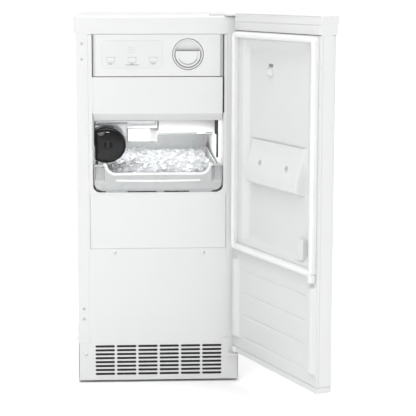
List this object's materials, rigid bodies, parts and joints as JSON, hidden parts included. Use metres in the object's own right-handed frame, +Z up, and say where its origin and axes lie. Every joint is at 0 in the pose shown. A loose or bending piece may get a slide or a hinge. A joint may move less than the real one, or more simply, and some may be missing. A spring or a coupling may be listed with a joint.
{
  "type": "under-counter ice maker",
  "caption": "White under-counter ice maker with its hinged door open: control fascia, ice bin with scoop, service panel, toe grille and cooling parts.",
  "frame": {"origin": "on the floor below the centre of the cabinet's base pan", "axes": "+X across the front towards the door hinges, +Y from the front to the rear panel, +Z up"},
  "size_m": [0.5588, 0.9425, 0.8705],
  "materials": {
    "painted_steel": "smooth white enamel",
    "white_plastic": "semi-gloss white moulding",
    "liner_plastic": "vacuum-formed pale grey-white sheet",
    "bin_plastic": "translucent pale grey moulding",
    "gasket_rubber": "soft white vinyl",
    "foot_rubber": "black rubber",
    "black_gloss": "high gloss black",
    "black_plastic": "black moulding",
    "foam": "foamed-in polyurethane",
    "galvanised_steel": "zinc-plated sheet",
    "bright_steel": "plated screw",
    "copper": "drawn copper tube",
    "aluminium": "mill finish",
    "circuit": "solder-masked board"
  },
  "bodies": {
    "cabinet": {"cabinet_shell": "painted_steel", "rear_panel": "galvanised_steel", "top_cap": "painted_steel", "base_pan": "galvanised_steel", "foam_insulation": "foam", "compartment_liner": "liner_plastic", "front_frame": "white_plastic", "upper_front_panel": "painted_steel", "service_panel": "painted_steel", "service_panel_screw_left": "bright_steel", "service_panel_screw_right": "bright_steel", "toe_grille": "painted_steel", "grille_screw": "bright_steel", "control_fascia": "white_plastic", "control_overlay": "white_plastic", "control_board": "circuit", "control_box": "galvanised_steel", "filter_housing": "white_plastic", "evaporator_cover": "white_plastic", "evaporator_plate": "aluminium", "water_distributor": "white_plastic", "cutter_grid": "bright_steel", "grid_bracket": "white_plastic", "water_reservoir": "white_plastic", "pump_housing": "white_plastic", "scoop_holder": "white_plastic", "bin_sensor": "bright_steel", "compressor": "black_plastic", "condenser": "black_plastic", "fan_shroud": "black_plastic", "fan_motor": "bright_steel", "filter_drier": "copper", "discharge_line": "copper", "suction_line": "copper", "inlet_valve": "black_plastic", "drain_pump": "black_plastic", "power_inlet": "black_plastic", "upper_hinge": "painted_steel", "lower_hinge": "bright_steel"},
    "door": {"door_skin": "painted_steel", "door_foam": "foam", "door_liner": "liner_plastic", "door_gasket": "gasket_rubber", "door_top_grip": "white_plastic", "door_bottom_cap": "white_plastic", "ice_deflector": "liner_plastic", "door_magnet": "liner_plastic", "door_clip": "white_plastic"},
    "ice_bin": {"ice_bin": "bin_plastic"},
    "ice_scoop": {"ice_scoop": "black_gloss"},
    "filter_cartridge": {"filter_cartridge": "white_plastic"},
    "filter_cap": {"filter_cap": "white_plastic"},
    "timer_button": {"timer_button": "white_plastic"},
    "clean_button": {"clean_button": "white_plastic"},
    "power_button": {"power_button": "white_plastic"},
    "fan_blade": {"fan_blade": "black_plastic"},
    "leg_front_left": {"leg_front_left": "foot_rubber"},
    "leg_front_right": {"leg_front_right": "foot_rubber"},
    "leg_rear_left": {"leg_rear_left": "foot_rubber"},
    "leg_rear_right": {"leg_rear_right": "foot_rubber"}
  },
  "joints": [
    {"name": "door_hinge", "type": "hinge", "parent": "cabinet", "child": "door", "pos_m": [0.18, -0.303, 0.45], "axis": [0, 0, 1], "range_deg": [-113, 0]},
    {"name": "bin_slide", "type": "slide", "parent": "cabinet", "child": "ice_bin", "axis": [0, -1, 0], "range_m": [0, 0.3]},
    {"name": "scoop_pull", "type": "slide", "parent": "cabinet", "child": "ice_scoop", "axis": [0, -1, 0], "range_m": [0, 0.16]},
    {"name": "filter_pull", "type": "slide", "parent": "cabinet", "child": "filter_cartridge", "axis": [0, -1, 0], "range_m": [0, 0.27]},
    {"name": "filter_cap_turn", "type": "hinge", "parent": "filter_cartridge", "child": "filter_cap", "pos_m": [0.069, -0.287, 0.776], "axis": [0, 1, 0], "range_deg": [0, 90]},
    {"name": "timer_press", "type": "slide", "parent": "cabinet", "child": "timer_button", "axis": [0, 1, 0], "range_m": [0, 0.0015], "stiffness_N_per_m": 400},
    {"name": "clean_press", "type": "slide", "parent": "cabinet", "child": "clean_button", "axis": [0, 1, 0], "range_m": [0, 0.0015], "stiffness_N_per_m": 400},
    {"name": "power_press", "type": "slide", "parent": "cabinet", "child": "power_button", "axis": [0, 1, 0], "range_m": [0, 0.0015], "stiffness_N_per_m": 400},
    {"name": "fan_spin", "type": "hinge", "parent": "cabinet", "child": "fan_blade", "pos_m": [-0.07, -0.175, 0.114], "axis": [0, 1, 0], "continuous": true},
    {"name": "leg_front_left_adjust", "type": "slide", "parent": "cabinet", "child": "leg_front_left", "axis": [0, 0, -1], "range_m": [0, 0.02]},
    {"name": "leg_front_right_adjust", "type": "slide", "parent": "cabinet", "child": "leg_front_right", "axis": [0, 0, -1], "range_m": [0, 0.02]},
    {"name": "leg_rear_left_adjust", "type": "slide", "parent": "cabinet", "child": "leg_rear_left", "axis": [0, 0, -1], "range_m": [0, 0.02]},
    {"name": "leg_rear_right_adjust", "type": "slide", "parent": "cabinet", "child": "leg_rear_right", "axis": [0, 0, -1], "range_m": [0, 0.02]}
  ]
}
